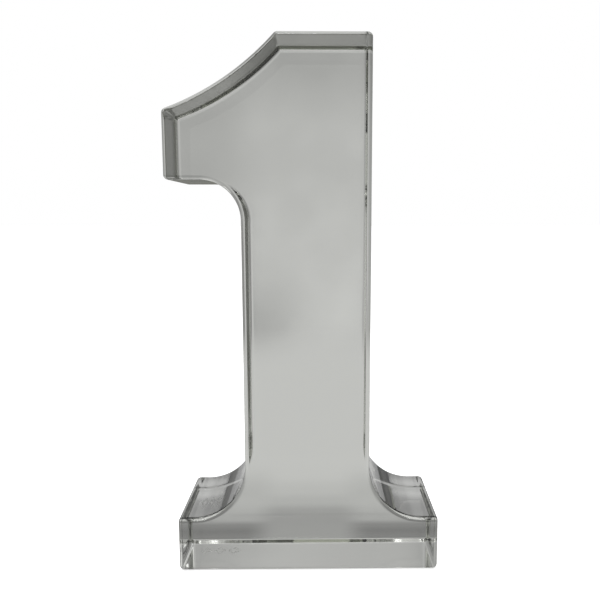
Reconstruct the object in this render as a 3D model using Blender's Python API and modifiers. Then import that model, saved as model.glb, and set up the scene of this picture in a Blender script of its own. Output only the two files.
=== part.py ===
"""Free-standing numeral one for a table: one block of clear crystal, cast, ground and polished.

Metres, +Z up. The front face looks along -Y and the flag points along -X. The origin is on the
surface that the numeral stands on, under the middle of its bounding box.
"""

from math import asin, atan2, ceil, cos, degrees, hypot, radians, sin

import bpy

# Bounding box
HEIGHT = 0.152
WIDTH = 0.0772
DEPTH = 0.034

# Foot: a slab whose top sweeps up into the stem on both sides
FOOT_WIDTH = 0.076
FOOT_HEIGHT = 0.0162
FOOT_FILLET = 0.0155

# Stem, ground a little off the middle of the foot
STEM_WIDTH = 0.036
STEM_SHIFT = -0.0003

# Flag: its top is hollowed by a long arc, and its underside sweeps down into the stem
TOP_LENGTH = 0.0261
FLAG_ARC_RADIUS = 0.076
FLAG_TIP_HEIGHT = 0.1319
FLAG_UNDERSIDE = 0.1132
FLAG_FILLET = 0.0111

# Every edge is polished to a round
EDGE_ROUND = 0.00135
EDGE_SEGMENTS = 4
SHARP_ANGLE = radians(30)

ARC_STEP = 0.0018
MERGE_DISTANCE = 0.00001

# Sides that follow from those sizes
BOX_LEFT = -WIDTH / 2
BOX_RIGHT = WIDTH / 2
FOOT_RIGHT = BOX_RIGHT
FOOT_LEFT = FOOT_RIGHT - FOOT_WIDTH
STEM_CENTRE = (FOOT_LEFT + FOOT_RIGHT) / 2 + STEM_SHIFT
STEM_LEFT = STEM_CENTRE - STEM_WIDTH / 2
STEM_RIGHT = STEM_CENTRE + STEM_WIDTH / 2
TOP_LEFT = STEM_RIGHT - TOP_LENGTH

CRYSTAL_COLOUR = (0.80, 0.81, 0.79, 1.0)
CRYSTAL_ROUGHNESS = 0.02
CRYSTAL_IOR = 1.62


def clear_scene():
    for obj in list(bpy.data.objects):
        bpy.data.objects.remove(obj, do_unlink=True)


def arc(centre, radius, start, end):
    """Points along an arc from one angle to another, in degrees, with both ends."""
    steps = ceil(radius * radians(abs(end - start)) / ARC_STEP)
    angles = [radians(start + (end - start) * i / steps) for i in range(steps + 1)]
    return [(centre[0] + radius * cos(a), centre[1] + radius * sin(a)) for a in angles]


def hollow_arc(first, last, radius):
    """Points along the arc from first to last whose centre is on the right of that way."""
    dx, dz = last[0] - first[0], last[1] - first[1]
    chord = hypot(dx, dz)
    half_turn = degrees(asin(chord / 2 / radius))
    heading = degrees(atan2(dz, dx))
    rise = radius * cos(radians(half_turn))
    centre = (
        (first[0] + last[0]) / 2 + rise * dz / chord,
        (first[1] + last[1]) / 2 - rise * dx / chord,
    )
    return arc(centre, radius, heading + 90 + half_turn, heading + 90 - half_turn)


def numeral_outline():
    """The front view, anticlockwise from the foot's lower left corner."""
    fillet_height = FOOT_HEIGHT + FOOT_FILLET
    under_flag = (STEM_LEFT - FLAG_FILLET, FLAG_UNDERSIDE - FLAG_FILLET)
    return [
        (FOOT_LEFT, 0),
        (FOOT_RIGHT, 0),
        (FOOT_RIGHT, FOOT_HEIGHT),
        *arc((STEM_RIGHT + FOOT_FILLET, fillet_height), FOOT_FILLET, 270, 180),
        (STEM_RIGHT, HEIGHT),
        *hollow_arc((TOP_LEFT, HEIGHT), (BOX_LEFT, FLAG_TIP_HEIGHT), FLAG_ARC_RADIUS),
        (BOX_LEFT, FLAG_UNDERSIDE),
        *arc(under_flag, FLAG_FILLET, 90, 0),
        *arc((STEM_LEFT - FOOT_FILLET, fillet_height), FOOT_FILLET, 0, -90),
        (FOOT_LEFT, FOOT_HEIGHT),
    ]


def crystal_material():
    material = bpy.data.materials.new("clear_crystal")
    material.use_nodes = True
    shader = material.node_tree.nodes["Principled BSDF"]
    shader.inputs["Base Color"].default_value = CRYSTAL_COLOUR
    shader.inputs["Metallic"].default_value = 0.0
    shader.inputs["Roughness"].default_value = CRYSTAL_ROUGHNESS
    shader.inputs["IOR"].default_value = CRYSTAL_IOR
    shader.inputs["Transmission Weight"].default_value = 1.0
    return material


def slab_from_outline(name, points, depth):
    """A curve object of the outline standing upright, filled, and as deep as depth."""
    curve = bpy.data.curves.new(name, "CURVE")
    curve.dimensions = "2D"
    curve.fill_mode = "BOTH"
    curve.extrude = depth / 2
    spline = curve.splines.new("POLY")
    spline.points.add(len(points) - 1)
    for point, (x, z) in zip(spline.points, points):
        point.co = (x, z, 0, 1)
    spline.use_cyclic_u = True
    slab = bpy.data.objects.new(name, curve)
    slab.rotation_euler = (radians(90), 0, 0)
    return slab


def round_edges(obj):
    weld = obj.modifiers.new("join_caps", "WELD")
    weld.merge_threshold = MERGE_DISTANCE
    bevel = obj.modifiers.new("edge_round", "BEVEL")
    bevel.width = EDGE_ROUND
    bevel.segments = EDGE_SEGMENTS
    bevel.limit_method = "ANGLE"
    bevel.angle_limit = SHARP_ANGLE
    bevel.use_clamp_overlap = False


def main():
    clear_scene()
    parts = bpy.data.collections.new("table_number_one")
    bpy.context.scene.collection.children.link(parts)
    numeral = slab_from_outline("crystal_numeral", numeral_outline(), DEPTH)
    parts.objects.link(numeral)
    numeral.data.materials.append(crystal_material())
    round_edges(numeral)


main()
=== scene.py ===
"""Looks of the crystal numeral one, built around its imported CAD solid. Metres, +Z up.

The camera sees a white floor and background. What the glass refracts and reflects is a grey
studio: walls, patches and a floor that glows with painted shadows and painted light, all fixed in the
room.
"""

from math import atan2, cos, degrees, pi, radians, sin, sqrt

import bmesh
import bpy
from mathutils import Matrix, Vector, noise


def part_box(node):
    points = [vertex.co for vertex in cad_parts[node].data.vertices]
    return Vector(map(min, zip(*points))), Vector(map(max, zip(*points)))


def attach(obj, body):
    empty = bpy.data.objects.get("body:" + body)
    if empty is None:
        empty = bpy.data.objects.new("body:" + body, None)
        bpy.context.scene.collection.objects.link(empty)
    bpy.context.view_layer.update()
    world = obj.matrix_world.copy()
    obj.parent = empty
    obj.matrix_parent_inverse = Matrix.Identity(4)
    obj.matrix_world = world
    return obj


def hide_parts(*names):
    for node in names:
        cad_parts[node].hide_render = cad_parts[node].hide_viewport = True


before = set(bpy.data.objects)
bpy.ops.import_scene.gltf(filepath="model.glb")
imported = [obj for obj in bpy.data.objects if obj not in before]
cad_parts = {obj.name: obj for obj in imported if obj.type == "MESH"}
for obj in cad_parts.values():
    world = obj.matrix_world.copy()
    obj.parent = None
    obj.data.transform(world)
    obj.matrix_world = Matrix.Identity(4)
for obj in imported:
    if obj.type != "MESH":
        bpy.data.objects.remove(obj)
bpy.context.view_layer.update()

NODE = "crystal_numeral"
LOW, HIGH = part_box(NODE)

# The numeral's outline, as the CAD part gives it
FOOT_WIDTH = 0.076
FOOT_HEIGHT = 0.0162
FOOT_FILLET = 0.0155
STEM_WIDTH = 0.036
STEM_SHIFT = -0.0003
TOP_LENGTH = 0.0261
FLAG_ARC_RADIUS = 0.076
FLAG_TIP_HEIGHT = 0.1319
FLAG_UNDERSIDE = 0.1132
FLAG_FILLET = 0.0111
EDGE_ROUND = 0.00135

FOOT_RIGHT = HIGH.x
FOOT_LEFT = FOOT_RIGHT - FOOT_WIDTH
STEM_CENTRE = (FOOT_LEFT + FOOT_RIGHT) / 2 + STEM_SHIFT
STEM_LEFT = STEM_CENTRE - STEM_WIDTH / 2
STEM_RIGHT = STEM_CENTRE + STEM_WIDTH / 2
TOP_LEFT = STEM_RIGHT - TOP_LENGTH

# Mesh fineness
ROUND_STEPS = 8
ARC_STEP = 0.0006
GRID = 0.003
MERGE_DISTANCE = 1e-7
CUT_DISTANCE = 1e-6

# Polishing waves: (wavelength, height)
WAVES = ((0.030, 0.000020), (0.009, 0.0000015))

# Crystal. Up to the first of the side normals, as the size of a normal's y, a face is all side,
# and past the second it is none. The sides' painted shade, a dark tint and lost clearness at a low angle,
# begins at the first shade height and is full at the second.
CRYSTAL_IOR = 1.62
CLEAR_TINT = (0.93, 0.93, 0.93, 1)
SIDE_SHADE_TINT = (0.16, 0.165, 0.105, 1)
SIDE_NORMALS = (0.10, 0.45)
SIDE_SHADE_HEIGHTS = (0.028, 0.046)
SIDE_SHADE_OPACITY = 0.75
GROUND_ROUGHNESS = 0.01
SMUDGE_SCALE = 38
SMUDGE_NOISE = (0.52, 0.75)
SMUDGE_ROUGHNESS = 0.035
ABSORPTION_TINT = (0.800, 0.812, 0.765, 1)
ABSORPTION_DENSITY = 24

# Three frosted lozenge outlines etched under the foot
ETCH_COUNT = 3
ETCH_CENTRE = (-0.0272, 0.0053)
ETCH_PITCH = 0.0044
ETCH_HALF_WIDTH = 0.0020
ETCH_HALF_DEPTH = 0.0042
ETCH_INNER = 0.55
ETCH_REACH = 0.0003
ETCH_ROUGHNESS = 0.45

# Floor. The camera sees its grey and its glow, and for the glass it fades out at these distances.
FLOOR_SIZE = 12
FLOOR_GAP = 0.0002
FLOOR_GREY = 0.85
FLOOR_GLOW = 0.68
FLOOR_FADE = (0.26, 0.46)

# The floor under and behind the numeral as the glass sees it, in line with the stem and beside it,
# with painted shadows of the stem and foot and painted light under the foot that comes through the
# crystal:
# (10 x distance from the numeral's middle plane, grey)
SHADOW_OF_STEM = (
    (0.17, 0.38),
    (0.25, 0.37),
    (0.31, 0.36),
    (0.39, 0.38),
    (0.48, 0.53),
    (0.58, 0.62),
    (0.75, 0.69),
    (0.95, 0.72),
)
SHADOW_OF_FOOT = (
    (0.00, 0.34),
    (0.06, 0.38),
    (0.13, 0.64),
    (0.16, 0.56),
    (0.185, 0.25),
    (0.24, 0.20),
    (0.28, 0.25),
    (0.33, 0.45),
    (0.50, 0.56),
    (0.95, 0.72),
)

# Half widths between which the floor goes from the stem's painted shadow to the foot's
UNDER_STEM = (0.010, 0.021)

# The floor in front: y where it is painted dark and where it is painted light, and those two greys
FRONT_FLOOR = (-0.080, -0.055)
FRONT_FLOOR_GREYS = (0.20, 0.75)

# Studio walls as the glass sees them, from the nadir (0) to the zenith (1): (position, grey)
WALL_BY_HEIGHT = (
    (0.30, 0.60),
    (0.385, 0.65),
    (0.425, 0.68),
    (0.48, 0.63),
    (0.545, 0.60),
    (0.61, 0.46),
    (0.70, 0.51),
    (0.90, 0.80),
)

# The same walls from left (0) through straight behind (0.5) to right (1): (position, factor)
WALL_BY_SIDE = (
    (0.00, 0.85),
    (0.10, 0.75),
    (0.20, 0.65),
    (0.35, 0.70),
    (0.415, 0.80),
    (0.47, 1.00),
    (0.545, 1.00),
    (0.58, 0.76),
    (0.65, 0.66),
    (0.80, 0.50),
    (0.90, 0.42),
    (1.00, 0.38),
)

# Lighter and darker round patches on those walls, angles in degrees:
# (azimuth, elevation, radius, soft edge, factor). Azimuth 0 is straight behind, 90 on the right.
PATCHES = (
    (17.0, 28.0, 5.0, 1.0, 3.2),
    (-6.0, -9.5, 7.0, 6.0, 0.74),
    (-173.0, 55.0, 5.0, 1.0, 8.0),
    (20.0, -10.0, 12.0, 4.0, 0.58),
    (125.0, -3.0, 35.0, 15.0, 1.50),
    (-123.0, 0.0, 35.0, 15.0, 1.30),
)

# Mottling of the walls: noise scale, noise levels, and the factors that they give
MOTTLE_SCALE = 9
MOTTLE_NOISE = (0.35, 0.65)
MOTTLE_FACTORS = (0.96, 1.04)

# Overhead lamp
LAMP_SIZE = (1.0, 0.7)
LAMP_POWER = 9
LAMP_PLACE = (-0.15, -0.35, 1.0)
LAMP_TURN = (18, -8, 0)

# Camera: it stands in front of the stem's upper half and looks a little down
SENSOR_WIDTH = 36
LENS = 42.08
LENS_SHIFT = (-0.0466, 0.0261)
CAMERA_DISTANCE = 0.19388
CAMERA_X, CAMERA_Z = 0.00353, 0.10386
CAMERA_TILT = 8.22
CAMERA_TURN = -0.81

# A Mix node's inputs A and B and its result, for numbers and for colours
MIX_SOCKETS = {"FLOAT": (2, 3, 0), "RGBA": (6, 7, 2)}


def hollow_centre():
    """Centre of the long arc that hollows the flag's top."""
    first = Vector((TOP_LEFT, HIGH.z))
    last = Vector((LOW.x, FLAG_TIP_HEIGHT))
    chord = last - first
    rise = sqrt(FLAG_ARC_RADIUS**2 - chord.length_squared / 4)
    return (first + last) / 2 + Vector((chord.y, -chord.x)).normalized() * rise


def corner(x, z, start, end):
    """(core point, outward angle) pairs that turn round one convex corner."""
    angles = [start + (end - start) * i / ROUND_STEPS for i in range(ROUND_STEPS + 1)]
    return [((x, z), radians(a)) for a in angles]


def hollow(centre, radius, start, end):
    """(core point, outward angle) pairs along a concave arc of the surface."""
    steps = round(radius * radians(abs(end - start)) / ARC_STEP)
    core = radius + EDGE_ROUND
    angles = [radians(start + (end - start) * i / steps) for i in range(steps + 1)]
    return [((centre[0] + core * cos(a), centre[1] + core * sin(a)), a + pi) for a in angles]


def core_outline():
    """The outline inset by the edge round, anticlockwise in the front view.

    Each entry is a core point and the angle of the surface's outward normal there, so the
    surface is the core point moved along that normal by up to the edge round.
    """
    r = EDGE_ROUND
    fillet_z = FOOT_HEIGHT + FOOT_FILLET
    centre = hollow_centre()
    core = FLAG_ARC_RADIUS + r
    top_z = HIGH.z - r
    tip_x = LOW.x + r
    top_angle = -degrees(atan2(centre.y - top_z, sqrt(core**2 - (centre.y - top_z) ** 2)))
    tip_angle = -degrees(atan2(sqrt(core**2 - (tip_x - centre.x) ** 2), tip_x - centre.x))
    top_x = centre.x + core * cos(radians(top_angle))
    tip_z = centre.y + core * sin(radians(tip_angle))
    return [
        *corner(FOOT_LEFT + r, LOW.z + r, 180, 270),
        *corner(FOOT_RIGHT - r, LOW.z + r, 270, 360),
        *corner(FOOT_RIGHT - r, FOOT_HEIGHT - r, 0, 90),
        *hollow((STEM_RIGHT + FOOT_FILLET, fillet_z), FOOT_FILLET, 270, 180),
        *corner(STEM_RIGHT - r, top_z, 0, 90),
        *corner(top_x, top_z, 90, top_angle + 180),
        *hollow(centre, FLAG_ARC_RADIUS, top_angle, tip_angle),
        *corner(tip_x, tip_z, tip_angle + 180, 180),
        *corner(tip_x, FLAG_UNDERSIDE + r, 180, 270),
        *hollow((STEM_LEFT - FLAG_FILLET, FLAG_UNDERSIDE - FLAG_FILLET), FLAG_FILLET, 90, 0),
        *hollow((STEM_LEFT - FOOT_FILLET, fillet_z), FOOT_FILLET, 0, -90),
        *corner(FOOT_LEFT + r, FOOT_HEIGHT - r, 90, 180),
    ]


def ring(mesh, outline, out, y):
    """One loop of vertices: the core outline moved out along its normals, at depth y."""
    return [
        mesh.verts.new((x + out * cos(angle), y, z + out * sin(angle)))
        for (x, z), angle in outline
    ]


def rounded_slab():
    """A bmesh of the numeral with every edge rounded, from the front cap to the back cap."""
    mesh = bmesh.new()
    outline = core_outline()
    turns = [radians(90 * i / ROUND_STEPS) for i in range(ROUND_STEPS, -1, -1)]
    front = [(EDGE_ROUND * cos(t), LOW.y + EDGE_ROUND * (1 - sin(t))) for t in turns]
    back = [(EDGE_ROUND * cos(t), HIGH.y - EDGE_ROUND * (1 - sin(t))) for t in reversed(turns)]
    rings = [ring(mesh, outline, out, y) for out, y in front + back]
    for near, far in zip(rings, rings[1:]):
        for i in range(len(outline)):
            mesh.faces.new((near[i - 1], near[i], far[i], far[i - 1]))
    mesh.faces.new(rings[0])
    mesh.faces.new(list(reversed(rings[-1])))
    bmesh.ops.remove_doubles(mesh, verts=mesh.verts, dist=MERGE_DISTANCE)
    bmesh.ops.recalc_face_normals(mesh, faces=mesh.faces)
    return mesh


def cut_into_grid(mesh):
    """Cuts the flat faces into cells, so that they can carry the polishing waves."""
    for axis in range(3):
        normal = [0, 0, 0]
        normal[axis] = 1
        cells = int((HIGH[axis] - LOW[axis]) / GRID)
        pitch = (HIGH[axis] - LOW[axis]) / cells
        for i in range(1, cells):
            point = [0, 0, 0]
            point[axis] = LOW[axis] + i * pitch
            geometry = [*mesh.verts, *mesh.edges, *mesh.faces]
            bmesh.ops.bisect_plane(
                mesh, geom=geometry, plane_co=point, plane_no=normal, dist=CUT_DISTANCE
            )


def add_waves(mesh):
    """Moves the surface in and out by a little, as hand polishing leaves it."""
    mesh.normal_update()
    moves = []
    for vert in mesh.verts:
        height = sum(h * noise.noise(vert.co / length) for length, h in WAVES)
        moves.append(vert.normal * height)
    for vert, move in zip(mesh.verts, moves):
        vert.co += move


def feed(tree, socket, value):
    """Gives a socket a number or a colour, or links another node's output to it."""
    if isinstance(value, bpy.types.NodeSocket):
        tree.links.new(value, socket)
    else:
        socket.default_value = value


def math_node(tree, operation, *values):
    """A Math node whose inputs are numbers or other nodes' outputs."""
    node = tree.nodes.new("ShaderNodeMath")
    node.operation = operation
    for socket, value in zip(node.inputs, values):
        feed(tree, socket, value)
    return node.outputs[0]


def mix_node(tree, factor, first, second, kind="FLOAT"):
    """Goes from first to second with the factor; the kind is FLOAT for numbers, RGBA for colours."""
    node = tree.nodes.new("ShaderNodeMix")
    node.data_type = kind
    a, b, result = MIX_SOCKETS[kind]
    feed(tree, node.inputs[0], factor)
    feed(tree, node.inputs[a], first)
    feed(tree, node.inputs[b], second)
    return node.outputs[result]


def smooth_range(tree, value, low, high, to_low=0.0, to_high=1.0):
    """Value taken from low..high to to_low..to_high, eased at both ends."""
    node = tree.nodes.new("ShaderNodeMapRange")
    node.interpolation_type = "SMOOTHSTEP"
    feed(tree, node.inputs["Value"], value)
    feed(tree, node.inputs["From Min"], low)
    feed(tree, node.inputs["From Max"], high)
    feed(tree, node.inputs["To Min"], to_low)
    feed(tree, node.inputs["To Max"], to_high)
    return node.outputs["Result"]


def ramp_node(tree, value, stops):
    """A colour ramp of greys: (position, grey) pairs."""
    node = tree.nodes.new("ShaderNodeValToRGB")
    node.color_ramp.interpolation = "EASE"
    elements = node.color_ramp.elements
    elements[0].position = stops[0][0]
    elements[1].position = stops[-1][0]
    for position, grey in stops[1:-1]:
        elements.new(position)
    for element, (position, grey) in zip(elements, stops):
        element.color = (grey, grey, grey, 1)
    feed(tree, node.inputs[0], value)
    return node.outputs["Color"]


def noise_node(tree, place, scale, detail=2.0, distortion=0.0):
    node = tree.nodes.new("ShaderNodeTexNoise")
    feed(tree, node.inputs["Vector"], place)
    feed(tree, node.inputs["Scale"], scale)
    feed(tree, node.inputs["Detail"], detail)
    feed(tree, node.inputs["Distortion"], distortion)
    return node.outputs["Fac"]


def split(tree, vector):
    """The X, Y and Z outputs of a vector."""
    node = tree.nodes.new("ShaderNodeSeparateXYZ")
    feed(tree, node.inputs[0], vector)
    return node.outputs


def etched_mask(tree, point):
    """1 on the frosted lozenges under the foot, 0 elsewhere."""
    x = math_node(tree, "SUBTRACT", point["X"], ETCH_CENTRE[0])
    y = math_node(tree, "SUBTRACT", point["Y"], ETCH_CENTRE[1])
    row_half = ETCH_COUNT / 2 * ETCH_PITCH
    in_row = math_node(tree, "LESS_THAN", math_node(tree, "ABSOLUTE", x), row_half)
    across = math_node(tree, "WRAP", x, -ETCH_PITCH / 2, ETCH_PITCH / 2)
    across = math_node(tree, "DIVIDE", math_node(tree, "ABSOLUTE", across), ETCH_HALF_WIDTH)
    along = math_node(tree, "DIVIDE", math_node(tree, "ABSOLUTE", y), ETCH_HALF_DEPTH)
    size = math_node(tree, "ADD", across, along)
    outer = math_node(tree, "LESS_THAN", size, 1.0)
    inner = math_node(tree, "GREATER_THAN", size, ETCH_INNER)
    below = math_node(tree, "LESS_THAN", point["Z"], LOW.z + ETCH_REACH)
    line = math_node(tree, "MULTIPLY", outer, inner)
    return math_node(tree, "MULTIPLY", math_node(tree, "MULTIPLY", line, below), in_row)


def crystal_material():
    """Clear crystal, with front, back and underside polished bright.

    The narrow sides above the foot are a little rougher, and where seen at a low angle they are painted
    darker and less clear, a painted shade.
    """
    material = bpy.data.materials.new("polished_crystal")
    material.use_nodes = True
    tree = material.node_tree
    shader = tree.nodes["Principled BSDF"]
    shader.inputs["IOR"].default_value = CRYSTAL_IOR
    shader.inputs["Specular IOR Level"].default_value = 0.0
    place = tree.nodes.new("ShaderNodeTexCoord")
    point = split(tree, place.outputs["Object"])
    normal = split(tree, place.outputs["Normal"])

    frontness = math_node(tree, "ABSOLUTE", normal["Y"])
    side = smooth_range(tree, frontness, *SIDE_NORMALS, 1.0, 0.0)
    upper = smooth_range(tree, point["Z"], *SIDE_SHADE_HEIGHTS)
    ground = math_node(tree, "MULTIPLY", side, upper)
    grazing = tree.nodes.new("ShaderNodeLayerWeight")
    grazing.inputs["Blend"].default_value = 0.5
    steep = math_node(tree, "POWER", grazing.outputs["Facing"], 2.0)
    # Painted shade: the narrow sides above the foot turn darker and less clear where they are seen at a
    # low angle
    side_shade = math_node(tree, "MULTIPLY", ground, steep)
    tint = mix_node(tree, side_shade, CLEAR_TINT, SIDE_SHADE_TINT, "RGBA")
    feed(tree, shader.inputs["Base Color"], tint)
    clear = math_node(tree, "MULTIPLY_ADD", side_shade, -SIDE_SHADE_OPACITY, 1.0)
    feed(tree, shader.inputs["Transmission Weight"], clear)

    cloud = noise_node(tree, place.outputs["Object"], SMUDGE_SCALE, detail=4, distortion=0.6)
    smudges = smooth_range(tree, cloud, *SMUDGE_NOISE, 0.0, SMUDGE_ROUGHNESS)
    rough = math_node(tree, "MULTIPLY_ADD", ground, GROUND_ROUGHNESS, smudges)
    etched = etched_mask(tree, point)
    rough = math_node(tree, "MULTIPLY_ADD", etched, ETCH_ROUGHNESS, rough)
    feed(tree, shader.inputs["Roughness"], rough)

    absorption = tree.nodes.new("ShaderNodeVolumeAbsorption")
    absorption.inputs["Color"].default_value = ABSORPTION_TINT
    absorption.inputs["Density"].default_value = ABSORPTION_DENSITY
    feed(tree, tree.nodes["Material Output"].inputs["Volume"], absorption.outputs[0])
    return material


def make_numeral():
    mesh = rounded_slab()
    cut_into_grid(mesh)
    add_waves(mesh)
    data = bpy.data.meshes.new("numeral_one")
    mesh.to_mesh(data)
    mesh.free()
    data.shade_smooth()
    numeral = bpy.data.objects.new("numeral_one", data)
    bpy.context.scene.collection.objects.link(numeral)
    data.materials.append(crystal_material())
    normals = numeral.modifiers.new("flat_face_normals", "WEIGHTED_NORMAL")
    normals.weight = 100
    return numeral


def painted_floor_for_glass(tree, point):
    """The floor's greys for the glass, all painted: painted shadows behind and under the numeral, painted
    light under the foot, and painted shade far in front.
    """
    y = point["Y"]
    behind = math_node(tree, "MULTIPLY", math_node(tree, "ABSOLUTE", y), 10.0)
    aside = smooth_range(tree, math_node(tree, "ABSOLUTE", point["X"]), *UNDER_STEM)
    # Painted shadows of the stem and foot on the floor, with painted light under the foot where it comes
    # through the crystal
    shadow_of_stem = ramp_node(tree, behind, SHADOW_OF_STEM)
    shadow_of_foot = ramp_node(tree, behind, SHADOW_OF_FOOT)
    back_floor = mix_node(tree, aside, shadow_of_stem, shadow_of_foot)
    # Painted shade far in front of the numeral, painted light near it
    front_floor = smooth_range(tree, y, *FRONT_FLOOR, *FRONT_FLOOR_GREYS)
    in_front = math_node(tree, "LESS_THAN", y, LOW.y)
    return mix_node(tree, in_front, back_floor, front_floor)


def make_floor():
    """A pale floor. Seen directly it is white with a faint shadow; for the glass it has no colour and
    glows with painted shadows and painted light.
    """
    bpy.ops.mesh.primitive_plane_add(size=FLOOR_SIZE, location=(0, 0, LOW.z - FLOOR_GAP))
    floor = bpy.context.object
    floor.name = "floor"
    material = bpy.data.materials.new("floor")
    material.use_nodes = True
    tree = material.node_tree
    shader = tree.nodes["Principled BSDF"]
    shader.inputs["Roughness"].default_value = 0.9
    shader.inputs["Specular IOR Level"].default_value = 0.0
    shader.inputs["Emission Color"].default_value = (1, 1, 1, 1)
    direct = tree.nodes.new("ShaderNodeLightPath").outputs["Is Camera Ray"]
    place = tree.nodes.new("ShaderNodeTexCoord").outputs["Object"]
    point = split(tree, place)
    feed(tree, shader.inputs["Base Color"], mix_node(tree, direct, 0.0, FLOOR_GREY))
    # For the glass the floor has no colour of its own and glows with the painted shadows and light
    glow = mix_node(tree, direct, painted_floor_for_glass(tree, point), FLOOR_GLOW)
    feed(tree, shader.inputs["Emission Strength"], glow)
    reach = tree.nodes.new("ShaderNodeVectorMath")
    reach.operation = "LENGTH"
    feed(tree, reach.inputs[0], place)
    near = smooth_range(tree, reach.outputs["Value"], *FLOOR_FADE, 1.0, 0.0)
    feed(tree, shader.inputs["Alpha"], math_node(tree, "MAXIMUM", near, direct))
    floor.data.materials.append(material)


def patch_node(tree, direction, azimuth, elevation, radius, edge, factor):
    """Factor where the direction falls on a round patch of the walls, 1 elsewhere."""
    azimuth, elevation = radians(azimuth), radians(elevation)
    dot = tree.nodes.new("ShaderNodeVectorMath")
    dot.operation = "DOT_PRODUCT"
    feed(tree, dot.inputs[0], direction)
    dot.inputs[1].default_value = (
        sin(azimuth) * cos(elevation),
        cos(azimuth) * cos(elevation),
        sin(elevation),
    )
    angle = math_node(tree, "ARCCOSINE", dot.outputs["Value"])
    return smooth_range(tree, angle, radians(radius - edge), radians(radius), factor, 1.0)


def make_world():
    """White where the camera looks past the numeral; the glass sees a soft grey studio."""
    world = bpy.data.worlds.new("studio")
    bpy.context.scene.world = world
    world.use_nodes = True
    tree = world.node_tree
    direction = tree.nodes.new("ShaderNodeTexCoord").outputs["Generated"]
    along = split(tree, direction)
    rise = math_node(tree, "MULTIPLY_ADD", along["Z"], 0.5, 0.5)
    aside = math_node(tree, "MULTIPLY_ADD", along["X"], 0.5, 0.5)
    mottle = smooth_range(tree, noise_node(tree, direction, MOTTLE_SCALE), *MOTTLE_NOISE, *MOTTLE_FACTORS)
    walls = math_node(tree, "MULTIPLY", ramp_node(tree, rise, WALL_BY_HEIGHT), mottle)
    walls = math_node(tree, "MULTIPLY", walls, ramp_node(tree, aside, WALL_BY_SIDE))
    for patch in PATCHES:
        walls = math_node(tree, "MULTIPLY", walls, patch_node(tree, direction, *patch))
    direct = tree.nodes.new("ShaderNodeLightPath").outputs["Is Camera Ray"]
    feed(tree, tree.nodes["Background"].inputs["Color"], mix_node(tree, direct, walls, 1.0))


def make_lights():
    """One soft lamp overhead. The glass doesn't see it, so that the edges don't turn plain white."""
    light = bpy.data.lights.new("overhead_softbox", "AREA")
    light.shape = "RECTANGLE"
    light.size, light.size_y = LAMP_SIZE
    light.energy = LAMP_POWER
    lamp = bpy.data.objects.new("overhead_softbox", light)
    lamp.location = LAMP_PLACE
    lamp.rotation_euler = [radians(a) for a in LAMP_TURN]
    lamp.visible_glossy = False
    lamp.visible_transmission = False
    bpy.context.scene.collection.objects.link(lamp)


def make_camera():
    data = bpy.data.cameras.new("camera")
    data.sensor_width = SENSOR_WIDTH
    data.lens = LENS
    data.shift_x, data.shift_y = LENS_SHIFT
    data.clip_start = 0.01
    camera = bpy.data.objects.new("camera", data)
    camera.location = (CAMERA_X, LOW.y - CAMERA_DISTANCE, CAMERA_Z)
    camera.rotation_euler = (radians(90 - CAMERA_TILT), 0, radians(CAMERA_TURN))
    bpy.context.scene.collection.objects.link(camera)
    bpy.context.scene.camera = camera


numeral = make_numeral()
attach(numeral, "root")
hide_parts(NODE)
make_floor()
make_world()
make_lights()
make_camera()
bpy.context.scene.view_settings.view_transform = "Standard"
